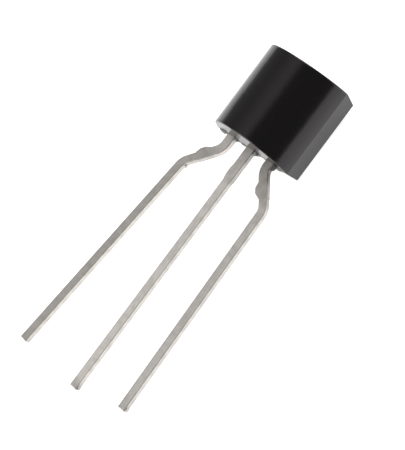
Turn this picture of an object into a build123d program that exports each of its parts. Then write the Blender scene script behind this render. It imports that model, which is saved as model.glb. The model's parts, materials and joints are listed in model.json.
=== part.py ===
"""A TO-92 transistor lying on its flat side: moulded body, three formed leads and the
parts sealed inside it. Millimetres, +Z up, the round back upwards, the leads along -Y.

Every piece is drawn in the package's own frame and laid down at the end. There, X runs
across the leads, +Y from the leads up through the body, +Z from the lead plane to the
round back, and the origin is the root of the centre lead on the mould's parting line.
"""
from build123d import *

import os
from math import asin, atan2, cos, degrees, hypot, radians, sin, sqrt, tan

# Moulded body
back_radius = 2.34          # round back
body_height = 4.70          # along the leads, measured on the parting line
flat_to_leads = 1.30        # flat face to the middle of the leads
back_centre_forward = 0.25  # centre of the back's arc, towards the flat from the lead plane
flat_width = 4.60
back_draft = 3.5            # degrees, end faces of the back half of the mould
front_draft = 6.0           # degrees, end faces of the flat's half
mould_edge_radius = 0.07    # rims of the flat and of the round back

# Stamped lead strip
lead_pitch = 1.27
lead_width = 0.42
lead_thickness = 0.36
neck_width = 0.47           # down to where the dam bar was cut
stamped_edge_radius = 0.04
dam_bar_width = 0.84
stub_slope = 0.28           # length of each sloping end of a stub
left_cut = 1.65             # middle of the cut dam bar, along the lead from the body
centre_cut = 1.42
right_cut = 1.42
left_stub = 0.12            # what the cut leaves on the left edge of each lead
centre_stub = 0.04
right_stub = 0.16
centre_reach = 14.09        # from the body to the tip

# Outer leads, spread when they were formed
left_neck = 0.74            # straight run below the body
left_foot = 2.35            # where the lead turns down again
left_spread = 1.39          # sideways step
left_splay = 5.93           # degrees that the leg leans outwards
left_reach = 13.97
right_neck = 0.48
right_foot = 2.01
right_spread = 1.22
right_splay = 1.40
right_reach = 13.35
bend_radius = 0.80

# Ends of the leads inside the resin
chip_height = 2.15          # centre of the chip above the lead roots
pad_width = 1.45
pad_length = 1.60
post_width = 0.66
post_length = 0.70
pad_corner_radius = 0.12
notch_radius = 0.07         # bites that lock the resin
notch_height = 0.75

# Chip, its solder and the bond wires
chip_size = 0.50
chip_thickness = 0.20
solder_margin = 0.04
solder_thickness = 0.025
wire_diameter = 0.04
wire_on_chip = 0.14         # from the chip's centre
wire_on_post = 0.08         # from the post's centre, towards the chip
wire_over_chip = 0.30       # height of the loop's first kink above the chip
wire_over_post = 0.22       # height of its second kink above the post

lead_top = lead_thickness / 2
solder_top = lead_top + solder_thickness
chip_top = solder_top + chip_thickness
back_depth = back_radius - back_centre_forward
parting_half_width = sqrt(back_radius**2 - back_centre_forward**2)


def leg_route(side, neck, foot, spread, splay, reach):
    """Corners of an outer lead's centre line, from its post in the resin to its tip."""
    knee = lead_pitch + spread
    tip = knee + (reach - foot) * tan(radians(splay))
    corners = [(lead_pitch, chip_height), (lead_pitch, -neck), (knee, -foot), (tip, -reach)]
    return [(side * x, y) for x, y in corners]


def stretch(route, start, end):
    """The part of a lead's centre line between two distances below the body."""
    return route.trim((chip_height + start) / route.length, (chip_height + end) / route.length)


def cut_stub(route, cut, stub):
    """What the cut dam bar leaves on the left edge of a lead, with sloping ends."""
    spot = chip_height + cut
    middle = route.position_at(spot, position_mode=PositionMode.LENGTH)
    down = route.tangent_at(spot, position_mode=PositionMode.LENGTH)
    left = down.rotate(Axis.Z, -90)
    half_length = dam_bar_width / 2
    crown = half_length - stub_slope
    edge = neck_width / 2
    corners = [
        (-half_length, 0),
        (-half_length, edge),
        (-crown, edge + stub),
        (crown, edge + stub),
        (half_length, edge),
        (half_length, 0),
    ]
    Polygon(*[middle + down * along + left * out for along, out in corners], align=None)


def lead_blank(route, cut, stub):
    """Stamped outline of a lead along its centre line, with its neck and dam bar stub."""
    trace(route, lead_width)
    trace(stretch(route, -chip_height, cut + dam_bar_width / 2), neck_width)
    cut_stub(route, cut, stub)


def bonding_end(centre_x, width, length):
    """Widened end that carries the chip or a bond wire."""
    with Locations((centre_x, chip_height)):
        RectangleRounded(width, length, pad_corner_radius)


def locking_notches(centre_x):
    """Bites in both edges of a lead, which the resin fills."""
    with Locations(
        (centre_x - neck_width / 2, notch_height), (centre_x + neck_width / 2, notch_height)
    ):
        Circle(notch_radius, mode=Mode.SUBTRACT)


def stamped_edges(piece):
    """The outline edges outside the resin, on both faces of a flat stamped lead."""
    levels = piece.edges().group_by(Axis.Z)
    return (levels[0] + levels[-1]).filter_by(lambda edge: edge.bounding_box().min.Y < 0)


def rounded_corner(along, height, radius, lean):
    """Centre of a rounded corner whose end face leans back by an angle from upright."""
    return along + radius * (1 - sin(lean)) / cos(lean), height + radius


def rest_pose():
    """Tilt and lift that put the flat's lower rim and the centre lead's tip on the ground."""
    draft = radians(front_draft)
    rim_along, rim_height = rounded_corner(
        flat_to_leads * tan(draft), -flat_to_leads, mould_edge_radius, draft
    )
    tip_along, tip_height = rounded_corner(-centre_reach, -lead_top, stamped_edge_radius, 0)
    along = rim_along - tip_along
    height = rim_height - tip_height
    tilt = asin((mould_edge_radius - stamped_edge_radius) / hypot(along, height)) - atan2(height, along)
    lift = stamped_edge_radius - tip_along * sin(tilt) - tip_height * cos(tilt)
    return Location((0, 0, lift), (degrees(tilt), 0, 0))


# Leads, drawn flat and cut from sheet
with BuildPart() as lead_left:
    with BuildSketch(Plane.XY.offset(-lead_top)):
        with BuildLine(mode=Mode.PRIVATE):
            left_route = FilletPolyline(
                *leg_route(-1, left_neck, left_foot, left_spread, left_splay, left_reach),
                radius=bend_radius,
            )
        lead_blank(left_route, left_cut, left_stub)
        bonding_end(-lead_pitch, post_width, post_length)
        locking_notches(-lead_pitch)
    extrude(amount=lead_thickness)
    fillet(stamped_edges(lead_left), stamped_edge_radius)

with BuildPart() as lead_centre:
    with BuildSketch(Plane.XY.offset(-lead_top)):
        with BuildLine(mode=Mode.PRIVATE):
            centre_route = Line((0, chip_height), (0, -centre_reach))
        lead_blank(centre_route, centre_cut, centre_stub)
        bonding_end(0, pad_width, pad_length)
        locking_notches(0)
    extrude(amount=lead_thickness)
    fillet(stamped_edges(lead_centre), stamped_edge_radius)

with BuildPart() as lead_right:
    with BuildSketch(Plane.XY.offset(-lead_top)):
        with BuildLine(mode=Mode.PRIVATE):
            right_route = FilletPolyline(
                *leg_route(1, right_neck, right_foot, right_spread, right_splay, right_reach),
                radius=bend_radius,
            )
        lead_blank(right_route, right_cut, right_stub)
        bonding_end(lead_pitch, post_width, post_length)
        locking_notches(lead_pitch)
    extrude(amount=lead_thickness)
    fillet(stamped_edges(lead_right), stamped_edge_radius)

# Chip on the centre lead's pad
with BuildPart() as solder:
    with BuildSketch(Plane.XY.offset(lead_top)):
        with Locations((0, chip_height)):
            Rectangle(chip_size + 2 * solder_margin, chip_size + 2 * solder_margin)
    extrude(amount=solder_thickness)

with BuildPart() as chip:
    with BuildSketch(Plane.XY.offset(solder_top)):
        with Locations((0, chip_height)):
            Rectangle(chip_size, chip_size)
    extrude(amount=chip_thickness)

# Bond wires, each a kinked loop from the chip's top down to its post
with BuildPart() as bond_wire_left:
    with BuildLine(Plane((0, chip_height, 0), x_dir=(1, 0, 0), z_dir=(0, -1, 0))) as loop:
        Polyline(
            (-wire_on_chip, chip_top),
            (-wire_on_chip, chip_top + wire_over_chip),
            (-lead_pitch + wire_on_post, lead_top + wire_over_post),
            (-lead_pitch + wire_on_post, lead_top),
        )
    with BuildSketch(Plane((-wire_on_chip, chip_height, chip_top))):
        Circle(wire_diameter / 2)
    sweep(path=loop.wire(), transition=Transition.RIGHT)

with BuildPart() as bond_wire_right:
    mirror(bond_wire_left.part, about=Plane.YZ)

# Body, a D section drafted both ways from the parting line and moulded round the rest
with BuildPart() as body:
    with BuildSketch(Plane.XZ.offset(-body_height)):
        with BuildLine():
            Polyline(
                (-parting_half_width, 0),
                (-flat_width / 2, -flat_to_leads),
                (flat_width / 2, -flat_to_leads),
                (parting_half_width, 0),
            )
            ThreePointArc((parting_half_width, 0), (0, back_depth), (-parting_half_width, 0))
        make_face()
    extrude(amount=body_height)
    with BuildSketch(Plane.YZ):
        back_step = back_depth * tan(radians(back_draft))
        front_step = flat_to_leads * tan(radians(front_draft))
        with BuildLine():
            Polyline(
                (0, 0),
                (back_step, back_depth),
                (body_height - back_step, back_depth),
                (body_height, 0),
                (body_height - front_step, -flat_to_leads),
                (front_step, -flat_to_leads),
                close=True,
            )
        make_face()
    extrude(amount=back_radius, both=True, mode=Mode.INTERSECT)
    flat_outline = body.faces().sort_by(Axis.Z)[0].edges()
    back_rims = body.edges().filter_by(GeomType.ELLIPSE)
    fillet(flat_outline + back_rims, mould_edge_radius)
    for sealed in (lead_left, lead_centre, lead_right, solder, chip, bond_wire_left, bond_wire_right):
        add(sealed.part, mode=Mode.SUBTRACT)

# Laid down, with the origin under the middle of the whole part
pieces = {
    "body": body,
    "lead_left": lead_left,
    "lead_centre": lead_centre,
    "lead_right": lead_right,
    "chip": chip,
    "chip_solder": solder,
    "bond_wire_left": bond_wire_left,
    "bond_wire_right": bond_wire_right,
}
lying = {name: piece.part.moved(rest_pose()) for name, piece in pieces.items()}
middle = Compound(list(lying.values())).bounding_box().center()

os.makedirs("parts", exist_ok=True)
for name, piece in lying.items():
    centred = piece.moved(Location((-middle.X, -middle.Y, 0)))
    centred.label = name
    export_step(centred, f"parts/{name}.step")
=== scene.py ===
"""Studio picture of a TO-92 transistor lying on a light table.

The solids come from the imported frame. This script dresses them, moulded resin for the body,
tin plate for the leads, silicon, solder and gold for what is sealed inside, and adds what
the mould and the press left on them: flash, crept resin, the gate's stub and small burrs.
Sizes are in metres, in the frame's own axes: +Z up, the leads along -Y.
"""

import json
import logging
import math
from abc import ABC, abstractmethod
from dataclasses import dataclass, field
from enum import Enum
from typing import Any

import bpy
from mathutils import Matrix, Vector, noise


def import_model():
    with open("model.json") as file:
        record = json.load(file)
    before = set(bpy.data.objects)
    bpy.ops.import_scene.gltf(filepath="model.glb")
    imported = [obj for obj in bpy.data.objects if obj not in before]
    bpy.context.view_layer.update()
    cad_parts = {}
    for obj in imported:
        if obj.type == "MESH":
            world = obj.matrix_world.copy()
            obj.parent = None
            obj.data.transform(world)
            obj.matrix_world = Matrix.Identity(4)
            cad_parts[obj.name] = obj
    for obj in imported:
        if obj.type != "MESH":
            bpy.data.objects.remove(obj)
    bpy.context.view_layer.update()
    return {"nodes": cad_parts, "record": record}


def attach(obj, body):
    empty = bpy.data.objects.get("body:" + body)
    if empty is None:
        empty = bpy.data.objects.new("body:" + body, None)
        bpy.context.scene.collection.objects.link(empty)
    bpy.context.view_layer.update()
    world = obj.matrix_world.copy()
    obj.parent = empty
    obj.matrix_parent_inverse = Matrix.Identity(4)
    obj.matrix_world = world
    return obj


MM = 0.001

log = logging.getLogger("transistor")

Colour = tuple[float, float, float]
Triple = tuple[float, float, float]
Stops = tuple[float, float]
Nodes = dict[str, bpy.types.Object]


class Slot(Enum):
    """Names of two of the record's material slots."""

    RESIN = "resin"
    TIN = "tinned_lead"


class Graph:
    """Adds shader nodes to one material or world and joins them."""

    def __init__(self, tree: bpy.types.NodeTree) -> None:
        """Start from an empty tree.

        Args:
            tree: Node tree of a material or a world.
        """
        self.tree = tree
        tree.nodes.clear()

    def add(self, kind: str, inputs: dict[Any, Any] | None = None, **settings: Any) -> bpy.types.Node:
        """Add one node.

        Args:
            kind: Node type without its ShaderNode prefix.
            inputs: Input name or number to a value or to an output socket.
            **settings: Properties of the node itself.

        Returns:
            The new node.
        """
        node = self.tree.nodes.new("ShaderNode" + kind)
        for name, value in settings.items():
            setattr(node, name, value)
        for name, value in (inputs or {}).items():
            if isinstance(value, bpy.types.NodeSocket):
                self.tree.links.new(value, node.inputs[name])
            else:
                node.inputs[name].default_value = value
        return node

    def math(self, operation: str, *values: Any) -> bpy.types.NodeSocket:
        """Add a Math node and return its output."""
        return self.add("Math", dict(enumerate(values)), operation=operation).outputs[0]

    def span(
        self, value: Any, low: float, high: float, to_low: float = 0.0, to_high: float = 1.0
    ) -> bpy.types.NodeSocket:
        """Map a value from one span to another, held at both ends.

        Args:
            value: Socket with the value.
            low: Start of the span it comes from.
            high: End of that span.
            to_low: Start of the span it goes to.
            to_high: End of that span.

        Returns:
            The mapped value's output.
        """
        limits = {"Value": value, "From Min": low, "From Max": high, "To Min": to_low, "To Max": to_high}
        return self.add("MapRange", limits).outputs[0]

    def ramp(self, factor: Any, stops: list[tuple[float, Colour]]) -> bpy.types.NodeSocket:
        """Add a colour ramp.

        Args:
            factor: Socket that drives the ramp.
            stops: Position and colour of each stop, in order.

        Returns:
            The ramp's colour output.
        """
        node = self.add("ValToRGB", {"Fac": factor})
        elements = node.color_ramp.elements
        while len(elements) < len(stops):
            elements.new(1.0)
        for element, (position, colour) in zip(elements, stops):
            element.position = position
            element.color = (*colour, 1.0)
        return node.outputs["Color"]

    def noise(self, places: Any, grain: float, detail: float = 4.0) -> bpy.types.NodeSocket:
        """Add a noise whose lumps measure about the given length.

        Args:
            places: Socket with the coordinates.
            grain: Size of a lump in metres.
            detail: How much finer noise lies on it.

        Returns:
            The noise's value output.
        """
        sizes = {"Vector": places, "Scale": 1.0 / grain, "Detail": detail}
        return self.add("TexNoise", sizes).outputs["Fac"]

    def multiply(self, first: Any, second: Any) -> bpy.types.NodeSocket:
        """Multiply two colours and return the result's output."""
        colours = {"Fac": 1.0, "Color1": first, "Color2": second}
        return self.add("MixRGB", colours, blend_type="MULTIPLY").outputs[0]

    def dot(self, first: Any, second: Any) -> bpy.types.NodeSocket:
        """Multiply two vectors to a number and return its output."""
        return self.add("VectorMath", {0: first, 1: second}, operation="DOT_PRODUCT").outputs["Value"]

    def relief(self, height: Any, depth: float, below: Any = None) -> bpy.types.NodeSocket:
        """Add a bump.

        Args:
            height: Socket with the height, from 0 to 1.
            depth: What a height of 1 measures in metres.
            below: Normal that the bump lies on, or None for the surface's own.

        Returns:
            The bumped normal's output.
        """
        inputs = {"Height": height, "Distance": depth}
        if below is not None:
            inputs["Normal"] = below
        return self.add("Bump", inputs).outputs[0]

    def finish(self, **inputs: Any) -> None:
        """Close a material with a Principled surface.

        Args:
            **inputs: The surface's inputs, with underscores for the spaces in their names.
        """
        named = {name.replace("_", " "): value for name, value in inputs.items()}
        surface = self.add("BsdfPrincipled", named)
        self.add("OutputMaterial", {"Surface": surface.outputs[0]})


def new_material(name: str, seen_as: Colour) -> tuple[bpy.types.Material, Graph]:
    """Make an empty node material.

    Args:
        name: Name of the material.
        seen_as: Plain colour for viewports.

    Returns:
        The material and the graph that fills it.
    """
    material = bpy.data.materials.new(name)
    material.use_nodes = True
    material.diffuse_color = (*seen_as, 1.0)
    return material, Graph(material.node_tree)


def grey(value: float) -> Colour:
    """A neutral colour."""
    return (value, value, value)


def dress(node: bpy.types.Object, material: bpy.types.Material) -> None:
    """Give every face of an object one material."""
    node.data.materials.clear()
    node.data.materials.append(material)


@dataclass(frozen=True)
class BodySizes:
    """Sizes of the moulded body, as the solids have them."""

    back_radius: float = 2.34 * MM
    back_centre_forward: float = 0.25 * MM
    height: float = 4.70 * MM
    flat_to_leads: float = 1.30 * MM
    lead_pitch: float = 1.27 * MM
    neck_width: float = 0.47 * MM

    @property
    def half_width(self) -> float:
        """Half the body's width on the parting line."""
        return math.sqrt(self.back_radius**2 - self.back_centre_forward**2)


@dataclass(frozen=True)
class PackageAxes:
    """The package's own axes in the frame: X across the leads, +Y up the body, +Z to its back.

    The origin is the root of the centre lead on the mould's parting line.
    """

    place: Matrix

    @classmethod
    def from_flat(cls, flat: dict[str, Any], sizes: BodySizes) -> "PackageAxes":
        """Work the axes out from the middle of the body's flat.

        Args:
            flat: The record's mount on the flat.
            sizes: Sizes of the body.

        Returns:
            The package's axes.
        """
        normal = Vector(flat["axis"])
        turned = Matrix.Rotation(math.atan2(normal.y, -normal.z), 4, "X")
        middle = turned @ Vector((0.0, sizes.height / 2, -sizes.flat_to_leads))
        return cls(Matrix.Translation(Vector(flat["pos_m"]) - middle) @ turned)

    def point(self, across: float, up: float, out: float = 0.0) -> Vector:
        """A point given in the package's axes, in the frame."""
        return self.place @ Vector((across, up, out))

    def direction(self, across: float, up: float, out: float) -> Vector:
        """A direction given in the package's axes, in the frame."""
        return self.place.to_3x3() @ Vector((across, up, out))


@dataclass(frozen=True)
class MouldedResin:
    """Black epoxy moulding compound with its mould's fine grain, paler at the two end rims."""

    axes: PackageAxes
    sizes: BodySizes
    deep: Colour = (0.0048, 0.0042, 0.0044)
    bloom: Colour = (0.0094, 0.0083, 0.0087)
    worn: Colour = (0.022, 0.0210, 0.0215)
    grain: float = 0.045 * MM
    grain_detail: float = 3.0
    grain_height: float = 0.0016 * MM
    grain_stops: Stops = (0.35, 0.75)
    wave: float = 1.1 * MM
    wave_detail: float = 2.0
    wave_height: float = 0.010 * MM
    smooth: float = 0.16
    rough: float = 0.23
    rim: float = 0.09 * MM
    rim_rough: float = 0.09
    rim_stops: Stops = (0.40, 0.65)
    specular: float = 0.44
    tint: Colour = (1.0, 0.945, 0.970)

    def material(self) -> bpy.types.Material:
        """Build the resin's material.

        Returns:
            The material.
        """
        material, graph = new_material("moulded_resin", self.bloom)
        places = graph.add("TexCoord").outputs["Object"]
        fine = graph.noise(places, self.grain, self.grain_detail)
        broad = graph.noise(places, self.wave, self.wave_detail)
        rims = self.rims(graph, places, fine)
        colour = graph.ramp(fine, list(zip(self.grain_stops, (self.deep, self.bloom))))
        shown = graph.add("MixRGB", {"Fac": rims, "Color1": colour, "Color2": (*self.worn, 1.0)}).outputs[0]
        gloss = graph.span(broad, 0.0, 1.0, self.smooth, self.rough)
        waves = graph.relief(broad, self.wave_height)
        graph.finish(
            Base_Color=shown,
            Roughness=graph.math("MULTIPLY_ADD", rims, self.rim_rough, gloss),
            Normal=graph.relief(fine, self.grain_height, waves),
            Specular_IOR_Level=self.specular,
            Specular_Tint=(*self.tint, 1.0),
        )
        return material

    def rims(self, graph: Graph, places: Any, fine: Any) -> bpy.types.NodeSocket:
        """Share of wear: 1 on the rims of both ends, broken up by the grain.

        Args:
            graph: The resin's graph.
            places: Socket with the coordinates.
            fine: Socket with the mould's grain.

        Returns:
            Output with the share.
        """
        end = self.sizes.height / 2
        middle = self.axes.point(0.0, end)
        from_middle = graph.add("VectorMath", {0: places, 1: middle}, operation="SUBTRACT").outputs[0]
        up = graph.dot(from_middle, self.axes.direction(0.0, 1.0, 0.0))
        near_end = graph.span(graph.math("ABSOLUTE", up), end - 2 * self.rim, end - self.rim)
        return graph.math("MULTIPLY", near_end, graph.span(fine, *self.rim_stops))


@dataclass(frozen=True)
class ScrapResin:
    """Resin that left the mould, dull, in greys with an olive cast. The pale greys are painted light: real
    moulding resin is near black, and they stand in for light from the light table shining through the flash
    and caught by the lumps beside the leads.
    """

    name: str
    pale: Colour
    dark: Colour
    grain: float = 0.05 * MM
    stops: Stops = (0.35, 0.70)
    relief: float = 0.05
    roughness: float = 0.45

    def material(self) -> bpy.types.Material:
        """Build the material, with a relief that is a share of its grain.

        Returns:
            The material.
        """
        material, graph = new_material(self.name, self.pale)
        grain = graph.noise(graph.add("TexCoord").outputs["Object"], self.grain)
        graph.finish(
            Base_Color=graph.ramp(grain, list(zip(self.stops, (self.dark, self.pale)))),
            Roughness=self.roughness,
            Normal=graph.relief(grain, self.relief * self.grain),
        )
        return material


# Painted light: the flash's pale grey stands in for the light table's light coming through it, and the
# three crept lumps get a pale, a mid and a dim grey, set one by one for the light each catches beside its
# lead. Only the broken gate's near black is the resin's own colour.
FLASH_PAINTED_GLOW = ScrapResin(
    "flash_painted_glow", (0.600, 0.588, 0.570), (0.420, 0.410, 0.396), 0.07 * MM, (0.35, 0.65), 0.02, 0.55
)
CREPT_PAINTED_PALE = ScrapResin("crept_resin_painted_pale", (0.520, 0.518, 0.490), (0.370, 0.368, 0.350))
CREPT_PAINTED_GREY = ScrapResin("crept_resin_painted_grey", (0.400, 0.400, 0.366), (0.255, 0.255, 0.236))
CREPT_PAINTED_DIM = ScrapResin("crept_resin_painted_dim", (0.185, 0.183, 0.168), (0.090, 0.089, 0.083))
RESIN_BREAK = ScrapResin("resin_break", (0.052, 0.052, 0.048), (0.018, 0.018, 0.017))


@dataclass(frozen=True)
class TinPlate:
    """Satin tin over stamped copper alloy, drawn along the lead.

    The painted tones give how bright the plate is at distances below the body, as shares of full
    brightness. They are painted light and shade: the plate is made darker next to the body and
    round the bends, and each lead gets its own level for the light it catches. The cut tip is duller
    in its own finish. Sheared is the share that is left on the sides, which the press tore.
    """

    name: str
    painted_shade_and_tip_tones: tuple[tuple[float, float], ...]
    sheared: float
    bright: Colour = (0.95, 0.902, 0.848)
    dull: Colour = (0.78, 0.735, 0.69)
    blotch: float = 0.35 * MM
    blotch_detail: float = 5.0
    blotch_stops: Stops = (0.30, 0.62)
    streak: float = 0.030 * MM
    streak_detail: float = 3.0
    streak_height: float = 0.0018 * MM
    stretch: float = 0.05
    smooth: float = 0.26
    rough: float = 0.42
    side_rough: float = 0.14
    side_stops: Stops = (0.75, 0.35)

    def material(self, axes: PackageAxes) -> bpy.types.Material:
        """Build the plating's material.

        Args:
            axes: The package's axes, for the distance below the body.

        Returns:
            The material.
        """
        material, graph = new_material(self.name, self.bright)
        places = graph.add("TexCoord").outputs["Object"]
        drawn = graph.add("Mapping", {"Vector": places, "Scale": (1.0, self.stretch, 1.0)}).outputs[0]
        blotches = graph.noise(places, self.blotch, self.blotch_detail)
        streaks = graph.noise(drawn, self.streak, self.streak_detail)
        plate = graph.ramp(blotches, list(zip(self.blotch_stops, (self.dull, self.bright))))
        reach = self.painted_shade_and_tip_tones[-1][0]
        along = graph.add("SeparateXYZ", {"Vector": places}).outputs["Y"]
        down = graph.span(along, axes.point(0.0, 0.0).y, axes.point(0.0, -reach).y)
        # Painted shade and light along the lead: darker next to the body and round the bends, each lead at
        # its own level, with a duller cut tip.
        painted_shade_and_tip = graph.ramp(down, [(distance / reach, grey(share)) for distance, share in self.painted_shade_and_tip_tones])
        side = self.side(graph, axes)
        shade = graph.ramp(side, [(0.0, grey(1.0)), (1.0, grey(self.sheared))])
        gloss = graph.span(blotches, 0.0, 1.0, self.rough, self.smooth)
        graph.finish(
            Base_Color=graph.multiply(graph.multiply(plate, painted_shade_and_tip), shade),
            Metallic=1.0,
            Roughness=graph.math("MULTIPLY_ADD", side, self.side_rough, gloss),
            Normal=graph.relief(streaks, self.streak_height),
        )
        return material

    def side(self, graph: Graph, axes: PackageAxes) -> bpy.types.NodeSocket:
        """Share of side: 0 on the sheet's two faces and 1 on the sheared edges.

        Args:
            graph: The plating's graph.
            axes: The package's axes.

        Returns:
            Output with the share.
        """
        facing = graph.dot(graph.add("TexCoord").outputs["Normal"], axes.direction(0.0, 0.0, 1.0))
        return graph.span(graph.math("ABSOLUTE", facing), *self.side_stops)


@dataclass(frozen=True)
class SealedFinish:
    """Finish of a piece sealed in the resin: a metal or silicon with fine variation."""

    name: str
    light: Colour
    dark: Colour
    metallic: float
    roughness: float
    grain: float
    stops: Stops = (0.3, 0.7)

    def material(self) -> bpy.types.Material:
        """Build the material.

        Returns:
            The material.
        """
        material, graph = new_material(self.name, self.light)
        grain = graph.noise(graph.add("TexCoord").outputs["Object"], self.grain)
        graph.finish(
            Base_Color=graph.ramp(grain, list(zip(self.stops, (self.dark, self.light)))),
            Metallic=self.metallic,
            Roughness=self.roughness,
        )
        return material


SILICON = SealedFinish("silicon", (0.24, 0.25, 0.29), (0.18, 0.19, 0.22), 0.0, 0.18, 0.02 * MM)
SOLDER = SealedFinish("solder", (0.66, 0.66, 0.67), (0.50, 0.50, 0.52), 1.0, 0.42, 0.03 * MM)
GOLD = SealedFinish("gold", (0.98, 0.74, 0.34), (0.86, 0.60, 0.24), 1.0, 0.22, 0.01 * MM)


def new_piece(
    name: str, points: list[Vector], faces: list[tuple[int, ...]], material: bpy.types.Material
) -> bpy.types.Object:
    """Make a smooth piece that rides on the part.

    Args:
        name: Name of the piece.
        points: Its points, in the frame.
        faces: Its faces, as numbers of points.
        material: Its finish.

    Returns:
        The piece.
    """
    mesh = bpy.data.meshes.new(name)
    mesh.from_pydata(points, [], faces)
    mesh.polygons.foreach_set("use_smooth", [True] * len(faces))
    piece = bpy.data.objects.new(name, mesh)
    bpy.context.scene.collection.objects.link(piece)
    dress(piece, material)
    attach(piece, "root")
    return piece


class Assembly(ABC):
    """A group of pieces that are dressed or made together."""

    @abstractmethod
    def build(self, nodes: Nodes) -> list[bpy.types.Object]:
        """Dress or make the pieces.

        Args:
            nodes: The frame's CAD nodes by name.

        Returns:
            The pieces that were dressed or made.
        """


@dataclass
class MouldedBody(Assembly):
    """The resin body."""

    finish: MouldedResin
    node: str = "body"

    def build(self, nodes: Nodes) -> list[bpy.types.Object]:
        """Dress the body."""
        dress(nodes[self.node], self.finish.material())
        return [nodes[self.node]]


@dataclass(frozen=True)
class Lump:
    """A small rough lump, rounder the nearer its roundness is to 1.

    More dents make it rougher, and apart spreads the centres so far that each lump differs.
    """

    name: str
    centre: Triple
    radii: Triple
    roundness: float = 0.8
    ragged: float = 0.16
    dents: float = 2.5
    apart: float = 1.0 / MM
    rings: int = 14
    spokes: int = 26

    def build(self, axes: PackageAxes, material: bpy.types.Material, slot: Slot) -> bpy.types.Object:
        """Make the lump.

        Args:
            axes: The package's axes, which its centre and radii are given in.
            material: Its finish.
            slot: Not used.

        Returns:
            The piece.
        """
        points = [
            axes.point(*self.surface(ring, spoke))
            for ring in range(1, self.rings) for spoke in range(self.spokes)
        ]
        poles = len(points)
        points += [axes.point(*self.surface(ring, 0)) for ring in (0, self.rings)]
        faces: list[tuple[int, ...]] = []
        last = (self.rings - 2) * self.spokes
        for spoke in range(self.spokes):
            following = (spoke + 1) % self.spokes
            faces.append((poles, following, spoke))
            faces.append((poles + 1, last + spoke, last + following))
            faces += [
                (row + spoke, row + following, row + self.spokes + following, row + self.spokes + spoke)
                for row in range(0, last, self.spokes)
            ]
        return new_piece(self.name, points, faces, material)

    def surface(self, ring: int, spoke: int) -> Vector:
        """A point on the lump.

        Args:
            ring: Number of the ring, from 0 at the top.
            spoke: Number of the spoke round it.

        Returns:
            The point, in the package's axes.
        """
        down = math.pi * ring / self.rings
        around = math.tau * spoke / self.spokes
        level = math.sin(down)
        way = Vector((level * math.cos(around), level * math.sin(around), math.cos(down)))
        swell = 1.0 + self.ragged * noise.noise(self.dents * way + self.apart * Vector(self.centre))
        return Vector(self.centre) + Vector([
            radius * swell * math.copysign(abs(part) ** self.roundness, part)
            for radius, part in zip(self.radii, way)
        ])


@dataclass
class LeadStrip(Assembly):
    """The three stamped and plated leads with their burrs; each lead's plate carries painted light and
    shade of its own.
    """

    axes: PackageAxes
    # Per lead: painted shade next to the body and round the bends, a painted overall level for the light
    # each lead catches, a duller cut tip, and the share left on the torn sides.
    finishes: dict[str, TinPlate] = field(default_factory=lambda: {
        "lead_left": TinPlate("tin_left", (
            (0.0, 0.78), (0.35 * MM, 0.86), (0.95 * MM, 0.79), (1.30 * MM, 0.62), (1.60 * MM, 0.62),
            (2.00 * MM, 0.69), (13.40 * MM, 0.69), (13.97 * MM, 0.62),
        ), 1.0),
        "lead_centre": TinPlate("tin_centre", (
            (0.0, 0.64), (0.50 * MM, 0.72), (1.00 * MM, 0.84), (1.90 * MM, 0.84), (2.15 * MM, 0.97),
            (13.45 * MM, 1.0), (13.75 * MM, 0.80), (14.09 * MM, 0.72),
        ), 0.68),
        "lead_right": TinPlate("tin_right", (
            (0.0, 0.50), (0.35 * MM, 0.50), (0.80 * MM, 0.54), (1.10 * MM, 0.61), (1.65 * MM, 0.64),
            (2.10 * MM, 0.81), (12.60 * MM, 0.82), (13.00 * MM, 0.74), (13.35 * MM, 0.70),
        ), 0.82),
    })
    burrs: dict[str, Lump] = field(default_factory=lambda: {
        "lead_left": Lump(
            "press_burr_left", (-2.415 * MM, -2.42 * MM, -0.05 * MM), (0.07 * MM, 0.14 * MM, 0.12 * MM)
        ),
        "lead_centre": Lump(
            "cut_burr_centre", (0.21 * MM, -13.96 * MM, 0.0), (0.06 * MM, 0.13 * MM, 0.15 * MM)
        ),
        "lead_right": Lump(
            "cut_burr_right", (2.975 * MM, -13.22 * MM, 0.0), (0.06 * MM, 0.13 * MM, 0.15 * MM)
        ),
    })

    def build(self, nodes: Nodes) -> list[bpy.types.Object]:
        """Dress the leads and add the small burrs on their edges.

        Args:
            nodes: The frame's CAD nodes by name.

        Returns:
            The three leads and their burrs.
        """
        burrs = []
        for name, finish in self.finishes.items():
            plate = finish.material(self.axes)
            dress(nodes[name], plate)
            burrs.append(self.burrs[name].build(self.axes, plate, Slot.TIN))
        return [nodes[name] for name in self.finishes] + burrs


@dataclass
class SealedChip(Assembly):
    """The chip, its solder and the two bond wires inside the resin."""

    finishes: dict[str, SealedFinish] = field(default_factory=lambda: {
        "chip": SILICON, "chip_solder": SOLDER, "bond_wire_left": GOLD, "bond_wire_right": GOLD,
    })

    def build(self, nodes: Nodes) -> list[bpy.types.Object]:
        """Dress the sealed pieces.

        Args:
            nodes: The frame's CAD nodes by name.

        Returns:
            The sealed pieces.
        """
        made = {finish.name: finish.material() for finish in self.finishes.values()}
        for name, finish in self.finishes.items():
            dress(nodes[name], made[finish.name])
        return [nodes[name] for name in self.finishes]


@dataclass(frozen=True)
class Tongue:
    """A place on the lead end where the flash stands out further."""

    across: float
    reach: float
    spread: float

    def at(self, across: float) -> float:
        """How far the tongue stands out at a place across the body."""
        away = min(abs(across - self.across) / self.spread, 1.0)
        return self.reach * math.cos(away * math.pi / 2) ** 2


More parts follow.
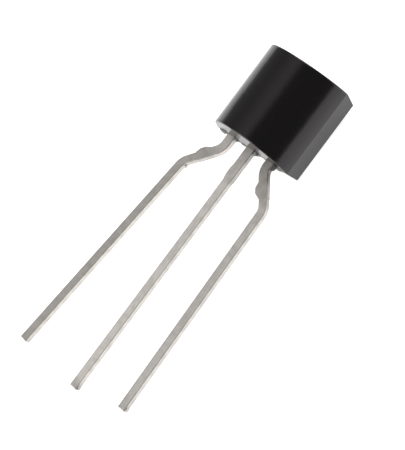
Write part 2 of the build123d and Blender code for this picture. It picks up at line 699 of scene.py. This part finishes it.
@dataclass
class MouldFlash(Assembly):
    """Thin fin of resin on the parting line of the lead end, torn into tongues."""

    axes: PackageAxes
    sizes: BodySizes
    tongues: tuple[Tongue, ...] = (
        Tongue(-1.83 * MM, 0.100 * MM, 0.42 * MM),
        Tongue(-0.98 * MM, 0.080 * MM, 0.26 * MM),
        Tongue(-0.50 * MM, 0.040 * MM, 0.36 * MM),
        Tongue(0.44 * MM, 0.085 * MM, 0.28 * MM),
        Tongue(1.00 * MM, 0.020 * MM, 0.30 * MM),
        Tongue(1.78 * MM, 0.085 * MM, 0.44 * MM),
    )
    film: float = 0.010 * MM
    ragged: float = 0.30
    tear: float = 0.13 * MM
    thickness: float = 0.030 * MM
    sunk: float = 0.04 * MM
    step: float = 0.025 * MM
    margin: float = 0.02 * MM
    section: tuple[tuple[float, float], ...] = (
        (0.0, 0.50), (0.70, 0.35), (1.0, 0.10), (1.0, -0.10), (0.70, -0.35), (0.0, -0.50),
    )

    def build(self, nodes: Nodes) -> list[bpy.types.Object]:
        """Make the fin.

        Args:
            nodes: Not used.

        Returns:
            The fin, alone in a list.
        """
        half = self.sizes.half_width - self.margin
        count = round(2 * half / self.step)
        places = [half * (2 * index / count - 1) for index in range(count + 1)]
        points = [point for across in places for point in self.cut(across)]
        ring = len(self.section) + 2
        faces = [
            (start + side, start + (side + 1) % ring, start + ring + (side + 1) % ring, start + ring + side)
            for start in range(0, count * ring, ring)
            for side in range(ring)
        ]
        faces += [tuple(reversed(range(ring))), tuple(range(count * ring, (count + 1) * ring))]
        # The fin's pale grey is painted glow, standing in for light coming through it from the light table.
        return [new_piece("mould_flash", points, faces, FLASH_PAINTED_GLOW.material())]

    def cut(self, across: float) -> list[Vector]:
        """Section of the fin at one place.

        Args:
            across: The place across the body.

        Returns:
            The section's corners, in the frame.
        """
        torn = 1.0 + self.ragged * noise.noise(Vector((across / self.tear, 0.0, 0.0)))
        reach = (self.film + sum(tongue.at(across) for tongue in self.tongues)) * torn
        outside = [(share * reach, level) for share, level in self.section]
        profile = [(-self.sunk, outside[0][1]), *outside, (-self.sunk, outside[-1][1])]
        return [self.axes.point(across, -out, level * self.thickness) for out, level in profile]


@dataclass
class CreptLumps(Assembly):
    """Resin that crept out of the mould beside each lead's root, and the stub of the gate."""

    axes: PackageAxes
    sizes: BodySizes
    left: Triple = (0.15 * MM, 0.12 * MM, 0.12 * MM)
    centre: Triple = (0.22 * MM, 0.17 * MM, 0.12 * MM)
    right: Triple = (0.16 * MM, 0.27 * MM, 0.12 * MM)
    gate: Triple = (0.36 * MM, 0.05 * MM, 0.10 * MM)
    gate_roundness: float = 0.35
    gate_ragged: float = 0.22

    def build(self, nodes: Nodes) -> list[bpy.types.Object]:
        """Make the lumps.

        Args:
            nodes: Not used.

        Returns:
            The three lumps and the stub.
        """
        edge = self.sizes.neck_width / 2
        pitch = self.sizes.lead_pitch
        end = (0.0, self.sizes.height, 0.0)
        stub = Lump("gate_stub", end, self.gate, self.gate_roundness, self.gate_ragged)
        # Each lump's grey is painted light, set one by one for the light it catches beside its lead; the
        # gate's stub keeps the resin's own dark.
        lumps = (
            (Lump("crept_resin_left", (edge - pitch, 0.0, 0.0), self.left), CREPT_PAINTED_PALE),
            (Lump("crept_resin_centre", (edge, 0.0, 0.0), self.centre), CREPT_PAINTED_GREY),
            (Lump("crept_resin_right", (edge + pitch, 0.0, 0.0), self.right), CREPT_PAINTED_DIM),
            (stub, RESIN_BREAK),
        )
        return [lump.build(self.axes, resin.material(), Slot.RESIN) for lump, resin in lumps]


@dataclass
class LightTable:
    """White sheet lit from below, on which the part lies."""

    side: float = 400 * MM
    glow: float = 0.88
    paper: Colour = (0.82, 0.82, 0.82)

    def build(self) -> bpy.types.Object:
        """Make the sheet.

        Returns:
            The sheet.
        """
        half = self.side / 2
        corners = [(-half, -half, 0), (half, -half, 0), (half, half, 0), (-half, half, 0)]
        mesh = bpy.data.meshes.new("light_table")
        mesh.from_pydata(corners, [], [(0, 1, 2, 3)])
        sheet = bpy.data.objects.new("light_table", mesh)
        bpy.context.scene.collection.objects.link(sheet)
        material, graph = new_material("lit_sheet", self.paper)
        graph.finish(
            Base_Color=(*self.paper, 1.0),
            Roughness=1.0,
            Specular_IOR_Level=0.0,
            Emission_Color=(1.0, 1.0, 1.0, 1.0),
            Emission_Strength=self.glow,
        )
        dress(sheet, material)
        return sheet


@dataclass
class StudioRoom:
    """Surroundings: pale to the left, dark overhead and to the right, white behind the view."""

    background: float = 0.96
    left_low: float = 0.34
    left_high: float = 0.72
    overhead: float = 0.14
    low_until_deg: float = -48.0
    high_from_deg: float = -16.0
    dark_from_deg: float = -2.0
    edge_deg: float = 6.0

    def build(self) -> bpy.types.World:
        """Make the world.

        Returns:
            The world.
        """
        world = bpy.data.worlds.new("studio_room")
        world.use_nodes = True
        graph = Graph(world.node_tree)
        direction = graph.add("TexCoord").outputs["Generated"]
        axes = graph.add("SeparateXYZ", {"Vector": direction}).outputs
        lean = graph.math("ARCTAN2", axes["X"], axes["Z"])
        room = graph.ramp(graph.span(lean, -math.pi, math.pi, 0.0, 1.0), [
            (self.share(self.low_until_deg), grey(self.left_low)),
            (self.share(self.high_from_deg), grey(self.left_high)),
            (self.share(self.dark_from_deg - self.edge_deg), grey(self.left_high)),
            (self.share(self.dark_from_deg + self.edge_deg), grey(self.overhead)),
        ])
        seen = graph.add("LightPath").outputs["Is Camera Ray"]
        shown = graph.add("MixRGB", {"Fac": seen, "Color1": room, "Color2": (*grey(self.background), 1.0)})
        light = graph.add("Background", {"Color": shown.outputs[0], "Strength": 1.0})
        graph.add("OutputWorld", {"Surface": light.outputs[0]})
        bpy.context.scene.world = world
        return world

    @staticmethod
    def share(angle_deg: float) -> float:
        """Place of an angle from upright on the ramp, which spans a full turn."""
        return angle_deg / 360.0 + 0.5


@dataclass
class SoftBox:
    """Large soft lamp that looks at the part."""

    name: str
    stands_at: Triple
    side: float = 90 * MM
    radiance: float = 3.2

    def build(self) -> bpy.types.Object:
        """Make the lamp, aimed at the origin.

        Returns:
            The lamp.
        """
        lamp = bpy.data.lights.new(self.name, "AREA")
        lamp.shape = "SQUARE"
        lamp.size = self.side
        lamp.energy = self.radiance * math.pi * self.side**2
        holder = bpy.data.objects.new(self.name, lamp)
        holder.location = self.stands_at
        holder.rotation_euler = (-Vector(self.stands_at)).to_track_quat("-Z", "Y").to_euler()
        bpy.context.scene.collection.objects.link(holder)
        return holder


@dataclass
class PhotoCamera:
    """Camera at the photograph's place, in the package's axes, turned about its line of sight."""

    axes: PackageAxes
    stands_at: Triple = (30.467 * MM, -3.734 * MM, 53.044 * MM)
    looks_at: Triple = (0.253 * MM, -4.241 * MM, -0.103 * MM)
    turn_deg: float = 36.72
    lens_mm: float = 114.53
    sensor_mm: float = 36.0
    nearest: float = 1 * MM
    furthest: float = 10.0

    def build(self) -> bpy.types.Object:
        """Make the camera and hand it to the scene.

        Returns:
            The camera.
        """
        data = bpy.data.cameras.new("photo_camera")
        data.sensor_fit = "HORIZONTAL"
        data.sensor_width = self.sensor_mm
        data.lens = self.lens_mm
        data.clip_start = self.nearest
        data.clip_end = self.furthest
        camera = bpy.data.objects.new("photo_camera", data)
        camera.matrix_world = self.place()
        bpy.context.scene.collection.objects.link(camera)
        bpy.context.scene.camera = camera
        return camera

    def place(self) -> Matrix:
        """Work out the camera's matrix from where it stands, looks and how it is turned.

        Returns:
            The matrix.
        """
        stand = self.axes.point(*self.stands_at)
        forward = (self.axes.point(*self.looks_at) - stand).normalized()
        turn = math.radians(self.turn_deg)
        side = forward.cross(self.axes.direction(0.0, 1.0, 0.0)).normalized()
        upright = side.cross(forward)
        right = side * math.cos(turn) + upright * math.sin(turn)
        up = upright * math.cos(turn) - side * math.sin(turn)
        turned = Matrix((right, up, -forward)).transposed().to_4x4()
        return Matrix.Translation(stand) @ turned


def main() -> None:
    """Load the frame, dress the part and set the studio."""
    logging.basicConfig(level=logging.INFO, format="%(name)s: %(message)s")
    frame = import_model()
    sizes = BodySizes()
    flat = next(mount for mount in frame["record"]["mounts"] if mount["name"] == "front_flat")
    axes = PackageAxes.from_flat(flat, sizes)
    assemblies: tuple[Assembly, ...] = (
        MouldedBody(MouldedResin(axes, sizes)),
        LeadStrip(axes),
        SealedChip(),
        MouldFlash(axes, sizes),
        CreptLumps(axes, sizes),
    )
    for assembly in assemblies:
        for piece in assembly.build(frame["nodes"]):
            log.info("%s: %s, %d faces", type(assembly).__name__, piece.name, len(piece.data.polygons))
    LightTable().build()
    StudioRoom().build()
    SoftBox("lamp_by_the_leads", (-20 * MM, -110 * MM, 75 * MM)).build()
    SoftBox("lamp_behind_the_body", (-20 * MM, 110 * MM, 75 * MM)).build()
    PhotoCamera(axes).build()
    bpy.context.scene.view_settings.view_transform = "Standard"


if __name__ == "__main__":
    main()
